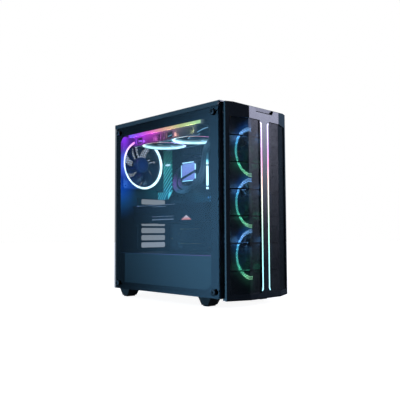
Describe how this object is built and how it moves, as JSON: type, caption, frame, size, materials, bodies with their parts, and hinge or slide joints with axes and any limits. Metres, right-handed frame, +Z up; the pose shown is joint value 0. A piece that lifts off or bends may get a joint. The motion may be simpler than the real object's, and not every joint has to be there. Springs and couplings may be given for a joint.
{
  "type": "desktop computer tower",
  "caption": "Desktop computer tower with a glass side, faceted mesh front with vertical light strips, lit fans, a liquid cooler, a graphics card, removable panels and dust filters.",
  "frame": {"origin": "on the floor, under the middle of the tower", "axes": "+Z up, +Y towards the rear wall, +X towards the steel side panel, so the glass faces -X and the mesh front faces -Y"},
  "size_m": [0.233, 0.439, 0.46],
  "materials": {
    "chassis_steel": "satin powder coat",
    "screw_steel": "black oxide",
    "black_plastic": "fine grained moulding",
    "rubber": "matt",
    "light_bar": "milky diffuser, lit from behind",
    "filter_mesh": "fine mesh",
    "front_mesh": "fine mesh",
    "light_guide": "milky light guide, lit",
    "ring_light": "milky ring, lit",
    "pump_light": "milky cap, lit",
    "button_ring": "satin",
    "port_metal": "bright plated",
    "tinted_glass": "polished, lightly tinted",
    "black_paint": "screen-printed border",
    "rotor_plastic": "smoky",
    "radiator_fins": "black coated",
    "coolant_tube": "braided sleeve",
    "circuit_board": "solder mask",
    "socket_plastic": "matt",
    "memory_metal": "anodised",
    "cable_sleeve": "braided sleeve"
  },
  "bodies": {
    "chassis": {"base_pan": "chassis_steel", "front_wall": "chassis_steel", "rear_wall": "chassis_steel", "top_frame": "chassis_steel", "motherboard_tray": "chassis_steel", "power_shroud": "chassis_steel", "feet": "black_plastic", "foot_pads": "rubber", "panel_bushings": "rubber", "chassis_screws": "screw_steel", "slot_covers": "chassis_steel", "light_bar": "light_bar", "top_cover": "black_plastic", "port_module": "port_metal", "fan_frames": "black_plastic", "fan_light_rings": "ring_light", "radiator": "radiator_fins", "coolant_tubes": "coolant_tube", "pump_head": "black_plastic", "pump_cap": "pump_light", "motherboard": "circuit_board", "board_sockets": "socket_plastic", "board_heatsinks": "radiator_fins", "io_cover": "black_plastic", "io_ports": "port_metal", "memory_sticks": "memory_metal", "card_shroud": "black_plastic", "card_heatsink": "radiator_fins", "card_board": "circuit_board", "card_bracket": "port_metal", "psu_case": "chassis_steel", "psu_inlet": "socket_plastic", "drive_cage": "chassis_steel", "drive_trays": "black_plastic", "power_cables": "cable_sleeve"},
    "glass_side": {"glass_panel": "tinted_glass", "glass_border": "black_paint"},
    "glass_screw_1": {"glass_screw_1": "screw_steel"},
    "glass_screw_2": {"glass_screw_2": "screw_steel"},
    "glass_screw_3": {"glass_screw_3": "screw_steel"},
    "glass_screw_4": {"glass_screw_4": "screw_steel"},
    "steel_side": {"side_panel": "chassis_steel", "side_panel_screws": "screw_steel"},
    "front_cover": {"front_panel": "black_plastic", "front_mesh": "front_mesh", "light_guides": "light_guide"},
    "top_filter": {"top_filter": "filter_mesh"},
    "bottom_filter": {"bottom_filter": "black_plastic"},
    "power_button": {"power_button": "button_ring"},
    "light_button": {"light_button": "black_plastic"},
    "front_rotor_1": {"front_rotor_1": "rotor_plastic"},
    "front_rotor_2": {"front_rotor_2": "rotor_plastic"},
    "front_rotor_3": {"front_rotor_3": "rotor_plastic"},
    "rear_rotor": {"rear_rotor": "rotor_plastic"},
    "top_rotor_1": {"top_rotor_1": "rotor_plastic"},
    "top_rotor_2": {"top_rotor_2": "rotor_plastic"},
    "card_rotor_1": {"card_rotor_1": "rotor_plastic"},
    "card_rotor_2": {"card_rotor_2": "rotor_plastic"},
    "psu_rotor": {"psu_rotor": "rotor_plastic"},
    "psu_switch": {"psu_switch": "socket_plastic"}
  },
  "joints": [
    {"name": "glass_pull", "type": "slide", "parent": "chassis", "child": "glass_side", "axis": [-1, 0, 0], "range_m": [0, 0.06]},
    {"name": "glass_screw_1_turn", "type": "hinge", "parent": "glass_side", "child": "glass_screw_1", "pos_m": [-0.114, -0.165, 0.034], "axis": [-1, 0, 0], "continuous": true},
    {"name": "glass_screw_2_turn", "type": "hinge", "parent": "glass_side", "child": "glass_screw_2", "pos_m": [-0.114, -0.165, 0.436], "axis": [-1, 0, 0], "continuous": true},
    {"name": "glass_screw_3_turn", "type": "hinge", "parent": "glass_side", "child": "glass_screw_3", "pos_m": [-0.114, 0.19, 0.034], "axis": [-1, 0, 0], "continuous": true},
    {"name": "glass_screw_4_turn", "type": "hinge", "parent": "glass_side", "child": "glass_screw_4", "pos_m": [-0.114, 0.19, 0.436], "axis": [-1, 0, 0], "continuous": true},
    {"name": "side_panel_slide", "type": "slide", "parent": "chassis", "child": "steel_side", "axis": [0, 1, 0], "range_m": [0, 0.02]},
    {"name": "front_pull", "type": "slide", "parent": "chassis", "child": "front_cover", "axis": [0, -1, 0], "range_m": [0, 0.06]},
    {"name": "top_filter_lift", "type": "slide", "parent": "chassis", "child": "top_filter", "axis": [0, 0, 1], "range_m": [0, 0.04]},
    {"name": "bottom_filter_slide", "type": "slide", "parent": "chassis", "child": "bottom_filter", "axis": [0, 1, 0], "range_m": [0, 0.15]},
    {"name": "power_press", "type": "slide", "parent": "chassis", "child": "power_button", "axis": [0, 0, -1], "range_m": [0, 0.0015], "stiffness_N_per_m": 400, "springref_m": -0.0015},
    {"name": "light_press", "type": "slide", "parent": "chassis", "child": "light_button", "axis": [0, 0, -1], "range_m": [0, 0.0015], "stiffness_N_per_m": 400, "springref_m": -0.0015},
    {"name": "front_rotor_1_spin", "type": "hinge", "parent": "chassis", "child": "front_rotor_1", "pos_m": [0, -0.167, 0.1142], "axis": [0, 1, 0], "continuous": true},
    {"name": "front_rotor_2_spin", "type": "hinge", "parent": "chassis", "child": "front_rotor_2", "pos_m": [0, -0.167, 0.2342], "axis": [0, 1, 0], "continuous": true},
    {"name": "front_rotor_3_spin", "type": "hinge", "parent": "chassis", "child": "front_rotor_3", "pos_m": [0, -0.167, 0.3542], "axis": [0, 1, 0], "continuous": true},
    {"name": "rear_rotor_spin", "type": "hinge", "parent": "chassis", "child": "rear_rotor", "pos_m": [-0.035, 0.195, 0.357], "axis": [0, 1, 0], "continuous": true},
    {"name": "top_rotor_1_spin", "type": "hinge", "parent": "chassis", "child": "top_rotor_1", "pos_m": [-0.04, -0.032, 0.41], "axis": [0, 0, 1], "continuous": true},
    {"name": "top_rotor_2_spin", "type": "hinge", "parent": "chassis", "child": "top_rotor_2", "pos_m": [-0.04, 0.088, 0.41], "axis": [0, 0, 1], "continuous": true},
    {"name": "card_rotor_1_spin", "type": "hinge", "parent": "chassis", "child": "card_rotor_1", "pos_m": [0.002, 0.112, 0.2], "axis": [0, 0, 1], "continuous": true},
    {"name": "card_rotor_2_spin", "type": "hinge", "parent": "chassis", "child": "card_rotor_2", "pos_m": [0.002, 0.004, 0.2], "axis": [0, 0, 1], "continuous": true},
    {"name": "psu_rotor_spin", "type": "hinge", "parent": "chassis", "child": "psu_rotor", "pos_m": [-0.005, 0.127, 0.034], "axis": [0, 0, 1], "continuous": true},
    {"name": "psu_switch_rock", "type": "hinge", "parent": "chassis", "child": "psu_switch", "pos_m": [0.044, 0.204, 0.087], "axis": [1, 0, 0], "range_deg": [-12, 0]}
  ]
}
